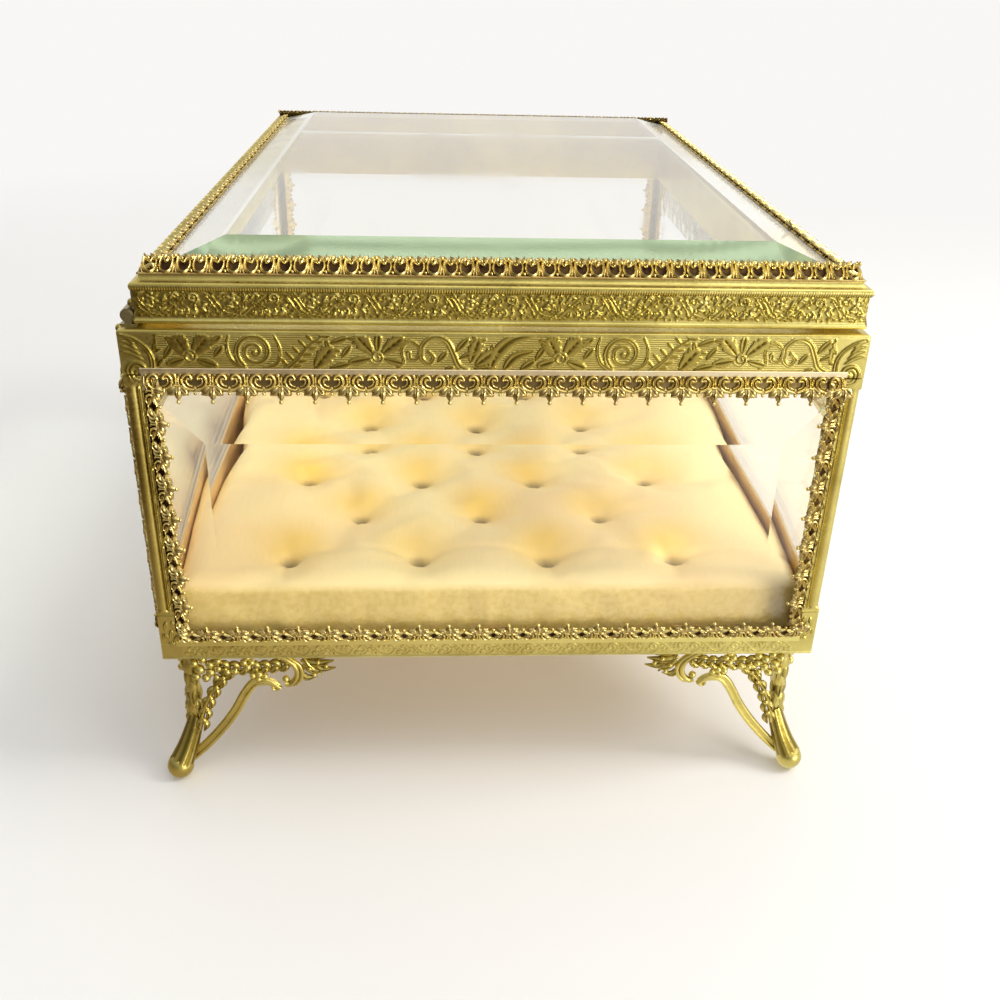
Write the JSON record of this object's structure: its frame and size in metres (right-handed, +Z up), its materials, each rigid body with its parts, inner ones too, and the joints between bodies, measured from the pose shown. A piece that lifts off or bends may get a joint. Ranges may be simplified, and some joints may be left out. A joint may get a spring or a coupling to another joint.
{
  "type": "glass casket box",
  "caption": "Footed keepsake casket with bevelled glass walls in a stamped brass frame, a hinged bevelled glass lid and a tufted satin cushion.",
  "frame": {"origin": "on the ground, midway between the four ball toes", "axes": "+Z up, -Y out of the ornamented short end, hinges on the -X side"},
  "size_m": [0.1552, 0.2212, 0.1265],
  "materials": {
    "stamped_brass": "aged gilt, stamped",
    "trim_brass": "pierced trim, tarnished in the hollows",
    "cast_brass": "cast openwork, aged gilt",
    "hinge_metal": "dull nickel",
    "glass": "polished, bevelled",
    "satin": "tufted satin",
    "thread": "tufting thread",
    "board": "plain board"
  },
  "bodies": {
    "body": {"base_pan": "stamped_brass", "bottom_rail_front": "stamped_brass", "bottom_rail_back": "stamped_brass", "bottom_rail_left": "stamped_brass", "bottom_rail_right": "stamped_brass", "corner_post_front_left": "stamped_brass", "corner_post_front_right": "stamped_brass", "corner_post_back_left": "stamped_brass", "corner_post_back_right": "stamped_brass", "top_rail_front": "stamped_brass", "top_rail_back": "stamped_brass", "top_rail_left": "stamped_brass", "top_rail_right": "stamped_brass", "glass_front": "glass", "glass_back": "glass", "glass_left": "glass", "glass_right": "glass", "galloon_front": "trim_brass", "galloon_back": "trim_brass", "galloon_left": "trim_brass", "galloon_right": "trim_brass", "glass_clips": "trim_brass", "inner_strip_left": "stamped_brass", "inner_strip_right": "stamped_brass", "foot_front_left": "cast_brass", "foot_front_right": "cast_brass", "foot_back_left": "cast_brass", "foot_back_right": "cast_brass", "foot_screws": "hinge_metal", "cushion_board": "board", "cushion": "satin", "tuft_stitches": "thread", "hinge_body_leaf_front": "hinge_metal", "hinge_body_leaf_back": "hinge_metal", "hinge_pin_front": "hinge_metal", "hinge_pin_back": "hinge_metal", "hinge_body_rivets": "stamped_brass"},
    "lid": {"lid_rail_front": "stamped_brass", "lid_rail_back": "stamped_brass", "lid_rail_left": "stamped_brass", "lid_rail_right": "stamped_brass", "lid_glass": "glass", "lid_galloon_front": "trim_brass", "lid_galloon_back": "trim_brass", "lid_galloon_left": "trim_brass", "lid_galloon_right": "trim_brass", "hinge_lid_leaf_front": "hinge_metal", "hinge_lid_leaf_back": "hinge_metal", "hinge_lid_rivets": "stamped_brass"}
  },
  "joints": [
    {"name": "lid_hinge", "type": "hinge", "parent": "body", "child": "lid", "pos_m": [-0.0732, 0, 0.1141], "axis": [0, -1, 0], "range_deg": [0, 105]}
  ]
}
